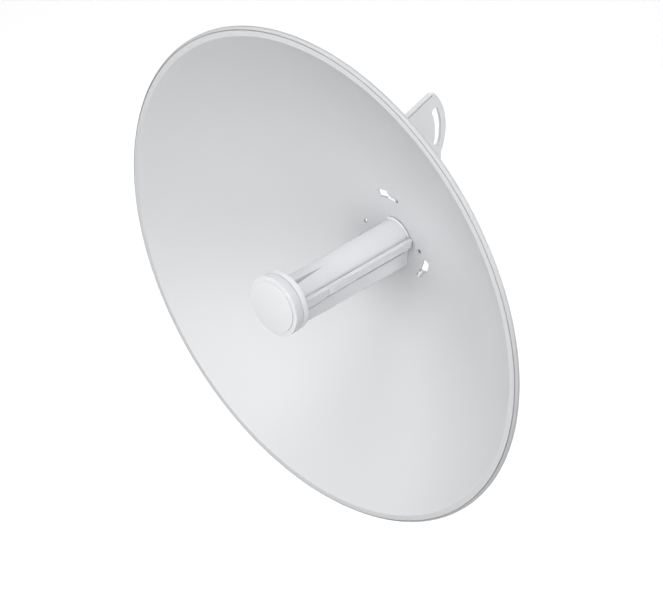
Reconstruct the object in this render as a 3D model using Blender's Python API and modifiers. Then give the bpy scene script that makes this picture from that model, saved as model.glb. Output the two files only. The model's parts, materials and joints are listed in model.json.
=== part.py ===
"""Parabolic dish antenna on a slotted steel bracket.

The dish axis runs along Y and the bowl opens towards -Y. Lengths are in
millimetres in the constants below and in metres in the model. The origin is
on the flat inner face of the bracket's ear, where the mast clamp bolts on.
"""

import math

import bmesh
import bpy
from mathutils import Vector

MM = 0.001
GAP = 0.3

# Where the centre of the dish rim lies, seen from the origin on the ear.
RIM_CENTRE = (37.0, -157.0, -58.0)

# Dish. Heights are measured forward of the rim's middle plane.
DISH_STEPS = 96
BOWL_DEPTH = 92.0
BOWL_CURVE = 645.7
BOWL_WELL = 3.0
BOWL_WELL_R = 25.0
BOWL_MIDDLE_RINGS = (0.0, 9.0, 17.0, 25.0, 34.0, 45.0)
BOWL_EDGE_R = 249.5
SHEET = 2.0
CREST_R = 250.4
CREST_H = 4.4
RING_IN_R = 253.3
RING_OUT_R = 257.2
RING_H = 2.9
RIM_R = 260.0
RIM_FRONT_H = 2.4
RIM_BACK_H = -0.6
FLANGE_IN_R = 246.3
BOWL_RINGS = 9

# Keyholes for the hub's lugs, and the two small holes beside the feed.
KEY_ANGLES = (105.0, -15.0, 225.0)
KEY_R = 46.5
KEY_WIDE = 8.5
KEY_WIDE_LONG = 12.6
KEY_ROUND = 1.2
KEY_TAIL_R = 44.9
KEY_TAIL = 5.0
KEY_TAIL_SWEEP = 22.0
SIDE_HOLES = ((-37.4, -1.7), (34.6, -1.7))
SIDE_HOLE_R = 2.2

# The feed, and the hub with its keyholes, lie a little off the dish axis.
FEED_Z = -2.0
HUB_X = -0.8
HUB_Z = -1.2

# Feed head: a cap with a disc on its face, and a collar behind it.
HEAD_STEPS = 64
HEAD_R = 31.6
HEAD_FACE = 73.7
DISC_R = 26.8
DISC_STEP = 72.5
CAP_RING_R = 30.4
CAP_CORNER = (31.25, 72.15)
CAP_EDGE = 71.3
HEAD_SEAM = 63.0
COLLAR_R = 31.3
HEAD_BACK = 55.8

# Feed tube: an arched upper shell, a deep lower shell and side strips.
TUBE_FRONT = -55.5
TUBE_BACK = 95.5
ARCH_R = 17.7
ARCH_LOW = -1.9
KEEL_HALF = 16.65
KEEL_FRONT = 28.4
KEEL_BACK = 30.2
KEEL_ROUND = 4.8
RAIL_IN = 19.9
RAIL_OUT = 24.4
RAIL_LEFT_OUT = 21.4
RAIL_TOP = 5.9
RAIL_LEFT_TOP = 3.1
RAIL_LOW = -1.9
RAIL_DROP = -3.1
RAIL_WEB_TOP = 1.0
RAIL_WEB_END = 3.0
RAIL_STEP_Y = -24.0
RAIL_BACK = 91.7
PAD_FRONT = -21.8
PAD_BACK = 14.5
PAD_PROUD = 0.7
VALLEY_LEFT = -0.2
VALLEY_RIGHT_TOP = 10.6
VALLEY_RIGHT_FLOOR = 1.8
VALLEY_TIP_X = 3.6
VALLEY_FLOOR = 6.0
VALLEY_CUT_TOP = 20.0
VALLEY_END = -11.0
LIP_IN_R = 18.0
LIP_OUT_R = 19.7
LIP_LOW = 6.2
LIP_FRONT = 91.7
LIP_BACK = 92.7
OPENING_MARGIN = 0.6

# Hub, housing and cover behind the dish, as radii and stations along the axis.
HUB_WELL_R = 33.3
HUB_LIP_R = 34.6
HUB_FRONT = 93.2
HUB_R = 38.2
HUB_RIM_BACK = 94.6
HUB_WAIST_R = 34.5
HUB_WAIST = 98.0
HUB_BACK = 100.0
HOUSING_R = 33.0
HOUSING_BACK = 120.0
HOUSING_ROUND = 1.5
COVER_BACK = 123.7
COVER_ROUND = 0.5

# Lugs: an arm off the hub and a finger through the keyhole's tail.
LUG_R = 45.6
LUG_WIDE = 2.6
LUG_LONG = 9.5
LUG_SWEEP = 16.0
LUG_TIP = 87.4
LUG_HOOK_BACK = 89.6
LUG_ARM_FRONT = 92.8
LUG_ARM_BACK = 94.8
LUG_ARM_NEAR = -1.3

# Cable gland under the housing.
GLAND_Y = 110.0
GLAND_R = 8.0
GLAND_TOP = -34.6
GLAND_COLLAR = -39.2
GLAND_NUT_R = 6.6
GLAND_NUT_LOW = -44.8
GLAND_MOUTH_R = 4.8
GLAND_END = -47.2
GLAND_BORE_R = 2.8
GLAND_BORE_TOP = -41.2

# Bracket: 3 mm plate, with the ear in the plane x = -40 to -37.
PLATE = 3.0
FOOT_FRONT = 124.0
FOOT_HALF = 36.0
FOOT_ROUND = 8.0
EAR_FACE_X = -37.0
PIVOT_Y = 127.0
PIVOT_Z = 58.0
PIVOT_HOLE_R = 4.4
EAR_R = 71.0
EAR_LOW_ANGLE = -24.5
EAR_HIGH_ANGLE = 37.5
EAR_HEEL = ((150.0, -36.0), (186.0, 2.0), (190.6, 10.0), (191.0, 18.0))
EAR_NOSE = ((119.0, 83.25), (115.4, 80.2), (114.0, 76.0), (114.0, 46.0), (115.2, 43.0))
EAR_CORNER = ((182.2, 102.0), (180.8, 102.5), (179.4, 102.4))
FOLD_OUT = 5.0
FOLD_THICK = 2.5
SLOT_R = 60.6
SLOT_HALF = 4.1
SLOT_LOW = -14.4
SLOT_HIGH = 21.3
GUSSET_LONG = 22.0
GUSSET_TIP = 3.0
GUSSET_Z = -30.0

# Fasteners of the foot plate.
BOLT_X = 20.0
BOLT_Z = 20.0
BOLT_SHANK_R = 3.0
BOLT_HOLE_R = 3.4
BOLT_FLANGE_R = 7.0
BOLT_FLANGE = 1.6
BOLT_HEAD_R = 5.8
BOLT_HEAD = 6.2
GROUND_SCREW_X = 28.0
GROUND_SCREW_R = 3.4
GROUND_SCREW_HEAD = 2.4

COLOURS = {
    "white_plastic": ((0.86, 0.87, 0.88), 0.42, 0.0),
    "dish_paint": ((0.82, 0.84, 0.86), 0.38, 0.0),
    "dark_plastic": ((0.10, 0.11, 0.12), 0.5, 0.0),
    "zinc_steel": ((0.60, 0.62, 0.64), 0.35, 1.0),
}


def clear_scene():
    """Remove everything from the scene."""
    for item in list(bpy.data.objects):
        bpy.data.objects.remove(item, do_unlink=True)


def new_collection(name):
    """Return a new collection linked to the scene."""
    group = bpy.data.collections.new(name)
    bpy.context.scene.collection.children.link(group)
    return group


def material(name, piece):
    """Return a piece's own material in one of the stated colours."""
    colour, rough, metal = COLOURS[name]
    result = bpy.data.materials.new(piece + "_" + name)
    result.use_nodes = True
    shader = result.node_tree.nodes["Principled BSDF"]
    shader.inputs["Base Color"].default_value = (*colour, 1.0)
    shader.inputs["Roughness"].default_value = rough
    shader.inputs["Metallic"].default_value = metal
    return result


def add_piece(name, mesh, finish):
    """Add a mesh as a named piece of the antenna, in the dish's own frame."""
    piece = bpy.data.objects.new(name, mesh)
    PARTS.objects.link(piece)
    piece.parent = AXIS
    mesh.materials.append(material(finish, name))
    return piece


def add_cutter(name, mesh):
    """Add a mesh that only cuts or joins other pieces."""
    cutter = bpy.data.objects.new(name, mesh)
    CUTTERS.objects.link(cutter)
    cutter.parent = AXIS
    cutter.hide_render = True
    cutter.display_type = "WIRE"
    return cutter


def mesh_from(bm, name):
    """Turn a bmesh into a mesh with its faces pointing out."""
    bmesh.ops.recalc_face_normals(bm, faces=bm.faces[:])
    mesh = bpy.data.meshes.new(name)
    bm.to_mesh(mesh)
    bm.free()
    return mesh


def box_mesh(name, low, high, round_edges=None, radius=0.0, segments=4):
    """Return a box between two corners, with some of its edges rounded."""
    bm = bmesh.new()
    bmesh.ops.create_cube(bm, size=1.0)
    for vert in bm.verts:
        for axis in range(3):
            middle = 0.5 * (low[axis] + high[axis])
            vert.co[axis] = (middle + vert.co[axis] * (high[axis] - low[axis])) * MM
    if round_edges is not None:
        edges = [edge for edge in bm.edges if round_edges(edge)]
        bmesh.ops.bevel(bm, geom=edges, offset=radius * MM, segments=segments,
                        profile=0.5, affect="EDGES", clamp_overlap=True)
    return mesh_from(bm, name)


def rod_mesh(name, centre, axis, radius, low, high, segments=32):
    """Return a cylinder along one axis, between two distances along it."""
    bm = bmesh.new()
    bmesh.ops.create_cone(bm, cap_ends=True, segments=segments, radius1=radius * MM,
                          radius2=radius * MM, depth=(high - low) * MM)
    turn = Vector((0.0, 0.0, 1.0)).rotation_difference(Vector(axis)).to_matrix()
    bmesh.ops.rotate(bm, verts=bm.verts[:], cent=(0.0, 0.0, 0.0), matrix=turn)
    middle = Vector(axis) * (0.5 * (low + high))
    bmesh.ops.translate(bm, verts=bm.verts[:], vec=(Vector(centre) + middle) * MM)
    return mesh_from(bm, name)


def turned(name, profile, finish, centre=(0.0, 0.0, 0.0), upright=False, steps=HEAD_STEPS):
    """Turn a profile of (radius, height) points with a Screw modifier.

    Height is forward along the dish axis, or up if upright is set.
    """
    mesh = bpy.data.meshes.new(name)
    points = [(radius * MM, 0.0, height * MM) for radius, height in profile]
    edges = [(index, index + 1) for index in range(len(points) - 1)]
    mesh.from_pydata(points, edges, [])
    piece = add_piece(name, mesh, finish)
    piece.location = Vector(centre) * MM
    if not upright:
        piece.rotation_euler = (math.radians(90.0), 0.0, 0.0)
    screw = piece.modifiers.new("turn", "SCREW")
    screw.steps = steps
    screw.render_steps = steps
    screw.use_merge_vertices = True
    screw.merge_threshold = 0.00001
    screw.use_smooth_shade = True
    return piece


def cut(piece, cutter, operation="DIFFERENCE"):
    """Cut a piece with a cutter, or join the cutter to it."""
    step = piece.modifiers.new(cutter.name, "BOOLEAN")
    step.operation = operation
    step.solver = "EXACT"
    step.object = cutter


def plate_mesh(name, outline, thickness, plane_x):
    """Return a flat plate in the YZ plane from an outline of (y, z) points."""
    curve = bpy.data.curves.new(name + "_outline", "CURVE")
    curve.dimensions = "2D"
    curve.fill_mode = "BOTH"
    curve.extrude = 0.5 * thickness * MM
    spline = curve.splines.new("POLY")
    spline.points.add(len(outline) - 1)
    for point, (across, up) in zip(spline.points, outline):
        point.co = (across * MM, up * MM, 0.0, 1.0)
    spline.use_cyclic_u = True
    holder = bpy.data.objects.new(name + "_holder", curve)
    bpy.context.scene.collection.objects.link(holder)
    bpy.context.view_layer.update()
    graph = bpy.context.evaluated_depsgraph_get()
    flat = bpy.data.meshes.new_from_object(holder.evaluated_get(graph))
    bpy.data.objects.remove(holder, do_unlink=True)
    bm = bmesh.new()
    bm.from_mesh(flat)
    bpy.data.meshes.remove(flat)
    bmesh.ops.remove_doubles(bm, verts=bm.verts[:], dist=0.00001)
    for vert in bm.verts:
        across, up, side = vert.co
        vert.co = (side + plane_x * MM, across, up)
    return mesh_from(bm, name)


def slab_mesh(name, outline, front, back):
    """Return a plate across the dish axis from an outline of (x, z) points."""
    mesh = plate_mesh(name, outline, back - front, 0.5 * (front + back))
    bm = bmesh.new()
    bm.from_mesh(mesh)
    bpy.data.meshes.remove(mesh)
    for vert in bm.verts:
        along, across, up = vert.co
        vert.co = (across, along, up)
    return mesh_from(bm, name)


def arc(centre_y, centre_z, radius, start, stop, count):
    """Return points on an arc, angles in degrees from the first axis."""
    points = []
    for index in range(count + 1):
        angle = math.radians(start + (stop - start) * index / count)
        points.append((centre_y + radius * math.cos(angle), centre_z + radius * math.sin(angle)))
    return points


def bowl_front(radius):
    """Return how far the bowl's front face lies behind the rim plane."""
    well = BOWL_WELL * math.exp(-(radius / BOWL_WELL_R) ** 2)
    return BOWL_DEPTH - radius * radius / BOWL_CURVE + well


def bowl_back(radius):
    """Return how far the bowl's back face lies behind the rim plane."""
    slope = 2.0 * radius / BOWL_CURVE
    return bowl_front(radius) + SHEET * math.sqrt(1.0 + slope * slope)


def polar(radius, angle):
    """Return the x and z of a point round the dish axis, seen from the front."""
    turn = math.radians(angle)
    return radius * math.cos(turn), radius * math.sin(turn)


def bowl_radii(last):
    """Return the radii of the bowl's rings from its middle to a last radius."""
    first = BOWL_MIDDLE_RINGS[-1]
    step = (last - first) / BOWL_RINGS
    return list(BOWL_MIDDLE_RINGS) + [first + step * index for index in range(1, BOWL_RINGS + 1)]


def dish_profile():
    """Return the dish's section: bowl, crest, sunk ring, outer wall and back."""
    points = [(radius, -bowl_front(radius)) for radius in bowl_radii(BOWL_EDGE_R)[:-1]]
    points += [(BOWL_EDGE_R, CREST_H), (CREST_R, CREST_H), (RING_IN_R, RING_H)]
    points += [(RING_OUT_R, RING_H), (RIM_R, RIM_FRONT_H), (RIM_R, RIM_BACK_H)]
    points += [(radius, -bowl_back(radius)) for radius in reversed(bowl_radii(FLANGE_IN_R))]
    return points


def arch_outline(radius, low):
    """Return a half disc about the feed's middle, flat at a height."""
    start = math.degrees(math.asin((low - FEED_Z) / radius))
    return arc(0.0, FEED_Z, radius, start, 180.0 - start, 40)


def opening_shapes():
    """Return the two cutters of the feed's opening in the dish."""
    margin = OPENING_MARGIN
    arch = slab_mesh("opening_arch", arch_outline(ARCH_R + margin, FEED_Z - margin), 80.0, 104.0)
    wide = KEEL_HALF + margin
    keel = box_mesh("opening_keel", (-wide, 80.0, -KEEL_BACK - margin), (wide, 104.0, FEED_Z),
                    keel_edge, KEEL_ROUND + margin, 5)
    return [arch, keel]


def keel_edge(edge):
    """Return whether an edge runs along the foot of the lower shell."""
    low = all(vert.co.z < -0.02 for vert in edge.verts)
    return low and abs(edge.verts[0].co.x - edge.verts[1].co.x) < 1e-6


def key_cutters(name, angle):
    """Return the cutters of one keyhole: a wide end and a curved tail."""
    across, up = polar(KEY_R, angle)
    wide = box_mesh(name + "_wide", (-KEY_WIDE / 2, 70.0, -KEY_WIDE_LONG / 2),
                    (KEY_WIDE / 2, 100.0, KEY_WIDE_LONG / 2),
                    lambda edge: abs(edge.verts[0].co.y - edge.verts[1].co.y) > 0.001,
                    KEY_ROUND, 3)
    wide_end = add_cutter(name + "_wide", wide)
    wide_end.location = Vector((across + HUB_X, 0.0, up + HUB_Z)) * MM
    wide_end.rotation_euler = (0.0, -math.radians(angle), 0.0)
    half = KEY_TAIL / 2
    stop = angle - KEY_TAIL_SWEEP
    outline = arc(0.0, 0.0, KEY_TAIL_R + half, angle, stop, 10)
    outline += arc(*polar(KEY_TAIL_R, stop), half, stop - 30.0, stop - 150.0, 5)
    outline += arc(0.0, 0.0, KEY_TAIL_R - half, stop, angle, 10)
    tail = plate_mesh(name + "_tail", outline, 30.0, 85.0)
    tail_end = add_cutter(name + "_tail", tail)
    tail_end.rotation_euler = (0.0, 0.0, math.radians(90.0))
    tail_end.scale = (1.0, -1.0, 1.0)
    tail_end.location = Vector((HUB_X, 0.0, HUB_Z)) * MM
    return [wide_end, tail_end]


def make_dish():
    """Make the dish with its feed opening, keyholes and side holes."""
    dish = turned("dish_reflector", dish_profile(), "dish_paint", steps=DISH_STEPS)
    for mesh in opening_shapes():
        cut(dish, add_cutter(mesh.name, mesh))
    for index, angle in enumerate(KEY_ANGLES):
        for cutter in key_cutters("keyhole_%d" % (index + 1), angle):
            cut(dish, cutter)
    for index, (across, up) in enumerate(SIDE_HOLES):
        mesh = rod_mesh("side_hole_%d" % (index + 1), (across, 0.0, up),
                        (0.0, 1.0, 0.0), SIDE_HOLE_R, 80.0, 100.0, 16)
        cut(dish, add_cutter(mesh.name, mesh))


def make_head():
    """Make the feed's round head: a cap, its raised disc and a collar."""
    centre = (0.0, 0.0, FEED_Z)
    low = HEAD_SEAM + 0.1
    cap = [(0.0, DISC_STEP), (CAP_RING_R, DISC_STEP), CAP_CORNER, (HEAD_R, CAP_EDGE)]
    cap += [(HEAD_R, low + 0.5), (HEAD_R - 0.5, low), (0.0, low)]
    turned("feed_cap", cap, "white_plastic", centre)
    low = DISC_STEP + GAP
    disc = [(0.0, HEAD_FACE), (DISC_R - 0.6, HEAD_FACE), (DISC_R, HEAD_FACE - 0.4)]
    disc += [(DISC_R, low), (0.0, low)]
    turned("feed_cap_disc", disc, "white_plastic", centre)
    top = HEAD_SEAM - 0.2
    collar = [(0.0, top), (COLLAR_R - 0.5, top), (COLLAR_R, top - 0.5)]
    collar += [(COLLAR_R, HEAD_BACK + 1.0), (COLLAR_R - 0.8, HEAD_BACK), (0.0, HEAD_BACK)]
    turned("feed_collar", collar, "white_plastic", centre)


def make_upper_shell():
    """Make the arched upper half of the tube, with a valley along its front."""
    mesh = slab_mesh("feed_upper_shell", arch_outline(ARCH_R, ARCH_LOW), TUBE_FRONT, TUBE_BACK)
    shell = add_piece("feed_upper_shell", mesh, "white_plastic")
    wedge = bmesh.new()
    bmesh.ops.create_cube(wedge, size=2.0)
    for vert in wedge.verts:
        at_back = vert.co.y > 0.0
        at_top = vert.co.z > 0.0
        right = VALLEY_RIGHT_TOP if at_top else VALLEY_RIGHT_FLOOR
        across = VALLEY_LEFT if vert.co.x < 0.0 else right
        if at_back:
            across = VALLEY_TIP_X + math.copysign(0.05, vert.co.x)
        floor = FEED_Z + ARCH_R - 0.7 if at_back else VALLEY_FLOOR
        up = VALLEY_CUT_TOP if at_top else floor
        along = VALLEY_END if at_back else TUBE_FRONT - 2.0
        vert.co = Vector((across, along, up)) * MM
    cut(shell, add_cutter("valley", mesh_from(wedge, "valley")))


def make_lower_shell():
    """Make the deep lower half of the tube, a little deeper at the dish."""
    bm = bmesh.new()
    bmesh.ops.create_cube(bm, size=1.0)
    for vert in bm.verts:
        at_back = vert.co.y > 0.0
        bottom = KEEL_BACK if at_back else KEEL_FRONT
        along = TUBE_BACK if at_back else TUBE_FRONT
        up = ARCH_LOW - GAP if vert.co.z > 0.0 else -bottom
        vert.co = Vector((math.copysign(KEEL_HALF, vert.co.x), along, up)) * MM
    edges = [edge for edge in bm.edges if keel_edge(edge)]
    bmesh.ops.bevel(bm, geom=edges, offset=KEEL_ROUND * MM, segments=6, profile=0.5,
                    affect="EDGES")
    add_piece("feed_lower_shell", mesh_from(bm, "feed_lower_shell"), "white_plastic")


def make_rails():
    """Make the strips along the tube's sides, and the bare pad on one of them."""
    root = ARCH_R + GAP
    for name, side, out, top in (("feed_rail_right", 1.0, RAIL_OUT, RAIL_TOP),
                                 ("feed_rail_left", -1.0, RAIL_LEFT_OUT, RAIL_LEFT_TOP)):
        outline = [(root, RAIL_LOW), (out, RAIL_LOW), (out, top), (RAIL_IN, top)]
        outline += [(RAIL_IN, RAIL_WEB_END), (root, RAIL_WEB_TOP)]
        outline = [(side * across, up) for across, up in outline]
        rail = add_piece(name, slab_mesh(name, outline, TUBE_FRONT, RAIL_BACK), "white_plastic")
        low, high = sorted((side * root, side * out))
        drop = box_mesh(name + "_drop", (low, TUBE_FRONT, RAIL_DROP),
                        (high, RAIL_STEP_Y, RAIL_LOW + 1.0))
        cut(rail, add_cutter(name + "_drop", drop), "UNION")
    start = RAIL_OUT + GAP
    pad = box_mesh("feed_side_pad", (start, PAD_FRONT, RAIL_LOW),
                   (start + PAD_PROUD, PAD_BACK, RAIL_TOP))
    add_piece("feed_side_pad", pad, "white_plastic")


def make_lip():
    """Make the thin lip over the arch where it enters the bowl."""
    outline = arch_outline(LIP_OUT_R, LIP_LOW) + arch_outline(LIP_IN_R, LIP_LOW)[::-1]
    mesh = slab_mesh("feed_base_lip", outline, LIP_FRONT, LIP_BACK)
    add_piece("feed_base_lip", mesh, "white_plastic")


def make_rear():
    """Make the hub, its lugs, the housing and the cable gland."""
    centre = (HUB_X, 0.0, HUB_Z)
    start = TUBE_BACK + GAP
    hub = [(0.0, -start), (HUB_WELL_R, -start), (HUB_LIP_R, -HUB_FRONT), (HUB_R, -HUB_FRONT)]
    hub += [(HUB_R, -HUB_RIM_BACK), (HUB_WAIST_R, -HUB_WAIST), (HOUSING_R, -HUB_BACK)]
    hub += [(0.0, -HUB_BACK)]
    turned("rear_hub", hub, "dark_plastic", centre, steps=48)
    start = HUB_BACK + GAP
    small = HOUSING_R - HOUSING_ROUND
    housing = [(0.0, -start), (small, -start), (HOUSING_R, -start - HOUSING_ROUND)]
    housing += [(HOUSING_R, -HOUSING_BACK + HOUSING_ROUND), (small, -HOUSING_BACK)]
    housing += [(0.0, -HOUSING_BACK)]
    turned("rear_housing", housing, "white_plastic", centre, steps=48)
    start = HOUSING_BACK + GAP
    small = HOUSING_R - COVER_ROUND
    cover = [(0.0, -start), (small, -start), (HOUSING_R, -start - COVER_ROUND)]
    cover += [(HOUSING_R, -COVER_BACK + COVER_ROUND), (small, -COVER_BACK), (0.0, -COVER_BACK)]
    turned("rear_cover", cover, "white_plastic", centre, steps=48)
    gland = [(0.0, GLAND_TOP), (GLAND_R, GLAND_TOP), (GLAND_R, GLAND_COLLAR)]
    gland += [(GLAND_NUT_R, GLAND_COLLAR - 0.6), (GLAND_NUT_R, GLAND_NUT_LOW)]
    gland += [(GLAND_MOUTH_R, GLAND_END), (GLAND_BORE_R, GLAND_END)]
    gland += [(GLAND_BORE_R, GLAND_BORE_TOP), (0.0, GLAND_BORE_TOP)]
    turned("cable_gland", gland, "dark_plastic", (HUB_X, GLAND_Y, 0.0), True, 24)
    for name, angle in zip(("hub_lug_top", "hub_lug_right", "hub_lug_left"), KEY_ANGLES):
        make_lug(name, angle - LUG_SWEEP)


def make_lug(name, angle):
    """Make one lug: an arm off the hub, a post and a hook in the keyhole's tail."""
    half = LUG_LONG / 2
    near = LUG_R - LUG_WIDE / 2
    out = LUG_R + LUG_WIDE / 2
    arm = box_mesh(name, (HUB_R + GAP, LUG_ARM_FRONT, -half), (LUG_R, LUG_ARM_BACK, LUG_ARM_NEAR))
    post = box_mesh(name + "_post", (near, LUG_TIP, -half), (out, LUG_ARM_BACK, LUG_ARM_NEAR))
    hook = box_mesh(name + "_hook", (near, LUG_TIP, LUG_ARM_NEAR - 1.0),
                    (out, LUG_HOOK_BACK, half))
    lug = add_piece(name, arm, "white_plastic")
    tips = [add_cutter(name + "_post", post), add_cutter(name + "_hook", hook)]
    for item in (lug, *tips):
        item.location = Vector((HUB_X, 0.0, HUB_Z)) * MM
        item.rotation_euler = (0.0, -math.radians(angle), 0.0)
    for tip in tips:
        cut(lug, tip, "UNION")


def ear_outline():
    """Return the ear's outline, its rim an arc about the pivot."""
    points = [(FOOT_FRONT, -FOOT_HALF), *EAR_HEEL]
    points += arc(PIVOT_Y, PIVOT_Z, EAR_R, EAR_LOW_ANGLE, EAR_HIGH_ANGLE, 26)
    points += [*EAR_CORNER, *EAR_NOSE, (FOOT_FRONT, FOOT_HALF)]
    return points


def fold_outline():
    """Return the section of the fold along the ear's top edge."""
    low, high = Vector(EAR_NOSE[0]), Vector(EAR_CORNER[-1])
    along = (high - low).normalized()
    inward = Vector((along.y, -along.x)) * FOLD_THICK
    start = low + along
    return [tuple(start), tuple(high), tuple(high + inward), tuple(start + inward)]


def slot_outline():
    """Return the arc slot's outline, round at both ends."""
    points = arc(PIVOT_Y, PIVOT_Z, SLOT_R + SLOT_HALF, SLOT_LOW, SLOT_HIGH, 14)
    turn = math.radians(SLOT_HIGH)
    end = (PIVOT_Y + SLOT_R * math.cos(turn), PIVOT_Z + SLOT_R * math.sin(turn))
    points += arc(*end, SLOT_HALF, SLOT_HIGH + 20.0, SLOT_HIGH + 160.0, 7)
    points += arc(PIVOT_Y, PIVOT_Z, SLOT_R - SLOT_HALF, SLOT_HIGH, SLOT_LOW, 14)
    turn = math.radians(SLOT_LOW)
    end = (PIVOT_Y + SLOT_R * math.cos(turn), PIVOT_Z + SLOT_R * math.sin(turn))
    points += arc(*end, SLOT_HALF, SLOT_LOW - 160.0, SLOT_LOW - 20.0, 7)
    return points


def make_bracket():
    """Make the welded bracket: foot plate, slotted ear and gusset."""
    back = FOOT_FRONT + PLATE
    foot_mesh = box_mesh("bracket_foot", (EAR_FACE_X + GAP, FOOT_FRONT, -FOOT_HALF),
                         (FOOT_HALF, back, FOOT_HALF),
                         lambda edge: all(vert.co.x > 0.0 for vert in edge.verts)
                         and abs(edge.verts[0].co.y - edge.verts[1].co.y) > 0.001,
                         FOOT_ROUND, 5)
    foot = add_piece("bracket_foot", foot_mesh, "dish_paint")
    ear_mesh = plate_mesh("bracket_ear", ear_outline(), PLATE, EAR_FACE_X - PLATE / 2)
    ear = add_piece("bracket_ear", ear_mesh, "dish_paint")
    fold = plate_mesh("ear_fold", fold_outline(), FOLD_OUT - 1.0,
                      EAR_FACE_X - 0.5 * (FOLD_OUT + 1.0))
    cut(ear, add_cutter("ear_fold", fold), "UNION")
    slot = plate_mesh("ear_slot", slot_outline(), 3.0 * PLATE, EAR_FACE_X - PLATE / 2)
    cut(ear, add_cutter("ear_slot", slot))
    pivot = rod_mesh("ear_pivot", (EAR_FACE_X, PIVOT_Y, PIVOT_Z), (1.0, 0.0, 0.0),
                     PIVOT_HOLE_R, -8.0, 8.0, 24)
    cut(ear, add_cutter("ear_pivot", pivot))
    number = 0
    for across in (-BOLT_X, BOLT_X):
        for up in (-BOLT_Z, BOLT_Z):
            number += 1
            hole = rod_mesh("foot_hole_%d" % number, (across, 0.0, up), (0.0, 1.0, 0.0),
                            BOLT_HOLE_R, FOOT_FRONT - 5.0, back + 5.0, 24)
            cut(foot, add_cutter(hole.name, hole))
            make_bolt("foot_bolt_%d" % number, (across, 0.0, up), back)
    low = EAR_FACE_X + GAP
    near = back + GAP
    gusset = bmesh.new()
    bmesh.ops.create_cube(gusset, size=2.0)
    for vert in gusset.verts:
        reach = GUSSET_LONG if vert.co.y < 0.0 else GUSSET_TIP
        across = low if vert.co.x < 0.0 else low + reach
        along = near if vert.co.y < 0.0 else near + GUSSET_LONG
        vert.co = Vector((across, along, GUSSET_Z + vert.co.z * PLATE / 2)) * MM
    add_piece("bracket_gusset", mesh_from(gusset, "bracket_gusset"), "dish_paint")
    screw = rod_mesh("ground_screw", (GROUND_SCREW_X, 0.0, 0.0), (0.0, 1.0, 0.0),
                     GROUND_SCREW_R, near, near + GROUND_SCREW_HEAD, 20)
    add_piece("ground_screw", screw, "zinc_steel")


def make_bolt(name, centre, face):
    """Make one flanged hexagon bolt with its shank in the foot's hole."""
    way = (0.0, 1.0, 0.0)
    top = face + 0.5 * (BOLT_FLANGE + BOLT_HEAD)
    shank = rod_mesh(name, centre, way, BOLT_SHANK_R, FOOT_FRONT + 0.2, top, 20)
    bolt = add_piece(name, shank, "zinc_steel")
    flange = rod_mesh(name + "_flange", centre, way, BOLT_FLANGE_R, face + GAP,
                      face + BOLT_FLANGE, 24)
    cut(bolt, add_cutter(flange.name, flange), "UNION")
    head = rod_mesh(name + "_head", centre, way, BOLT_HEAD_R, face + BOLT_FLANGE - 0.4,
                    face + BOLT_HEAD, 6)
    cut(bolt, add_cutter(head.name, head), "UNION")


clear_scene()
PARTS = new_collection("dish_antenna")
CUTTERS = new_collection("dish_antenna_cutters")
AXIS = bpy.data.objects.new("dish_axis", None)
PARTS.objects.link(AXIS)
AXIS.location = Vector(RIM_CENTRE) * MM

make_dish()
make_head()
make_upper_shell()
make_lower_shell()
make_rails()
make_lip()
make_rear()
make_bracket()
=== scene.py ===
"""Look of a round dish antenna with a tube feed and a slotted steel bracket.

Lengths in the classes are in millimetres, measured from the centre of the
dish rim: x to the right, y backwards along the dish axis, z up. Each finished
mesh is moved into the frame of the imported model, in metres.
"""

import json
import logging
import math
from dataclasses import dataclass, field
from enum import Enum
from typing import Callable, Iterable, Sequence

import bmesh
import bpy
from mathutils import Matrix, Vector

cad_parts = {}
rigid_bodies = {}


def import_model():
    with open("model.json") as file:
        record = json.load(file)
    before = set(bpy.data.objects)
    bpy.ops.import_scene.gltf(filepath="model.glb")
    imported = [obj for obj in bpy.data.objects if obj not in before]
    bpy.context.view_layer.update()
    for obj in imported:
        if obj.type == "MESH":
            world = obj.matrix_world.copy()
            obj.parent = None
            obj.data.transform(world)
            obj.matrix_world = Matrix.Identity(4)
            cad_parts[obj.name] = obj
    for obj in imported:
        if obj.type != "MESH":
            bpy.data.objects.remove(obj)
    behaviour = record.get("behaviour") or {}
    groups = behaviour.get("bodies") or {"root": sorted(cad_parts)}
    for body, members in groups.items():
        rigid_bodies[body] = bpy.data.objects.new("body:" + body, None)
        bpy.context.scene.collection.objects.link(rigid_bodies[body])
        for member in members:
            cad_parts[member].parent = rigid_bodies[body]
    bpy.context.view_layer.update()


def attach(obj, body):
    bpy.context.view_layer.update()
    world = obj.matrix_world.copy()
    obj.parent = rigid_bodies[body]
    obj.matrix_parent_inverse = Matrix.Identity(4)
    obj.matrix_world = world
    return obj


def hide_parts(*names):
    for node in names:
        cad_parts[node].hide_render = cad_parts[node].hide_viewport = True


LOG = logging.getLogger("dish_antenna")
MM = 0.001
RIM_CENTRE = (37.0, -157.0, -58.0)
BODY = "root"

# Gap between a piece and the piece that it sits on, and how far a cutter
# reaches past a surface, in millimetres.
SEAT = 0.3
PAST = 2.0

Pair = tuple[float, float]
Point = tuple[float, float, float]
Pairs = Sequence[Pair]
Profile = list[Pair]


class Axis(Enum):
    """Direction in which a turned piece's height runs."""

    FORWARD = (0.0, -1.0, 0.0)
    UP = (0.0, 0.0, 1.0)
    BACK = (0.0, 1.0, 0.0)

    def turn(self) -> Matrix:
        """Return the rotation that lays local +Z along this direction."""
        way = Vector(self.value)
        return Vector((0.0, 0.0, 1.0)).rotation_difference(way).to_matrix().to_4x4()


class Slot(Enum):
    """Material slots of the record."""

    DISH = "dish_paint"
    WHITE = "white_plastic"
    DARK = "dark_plastic"
    STEEL = "zinc_steel"


# Shapes


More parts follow.
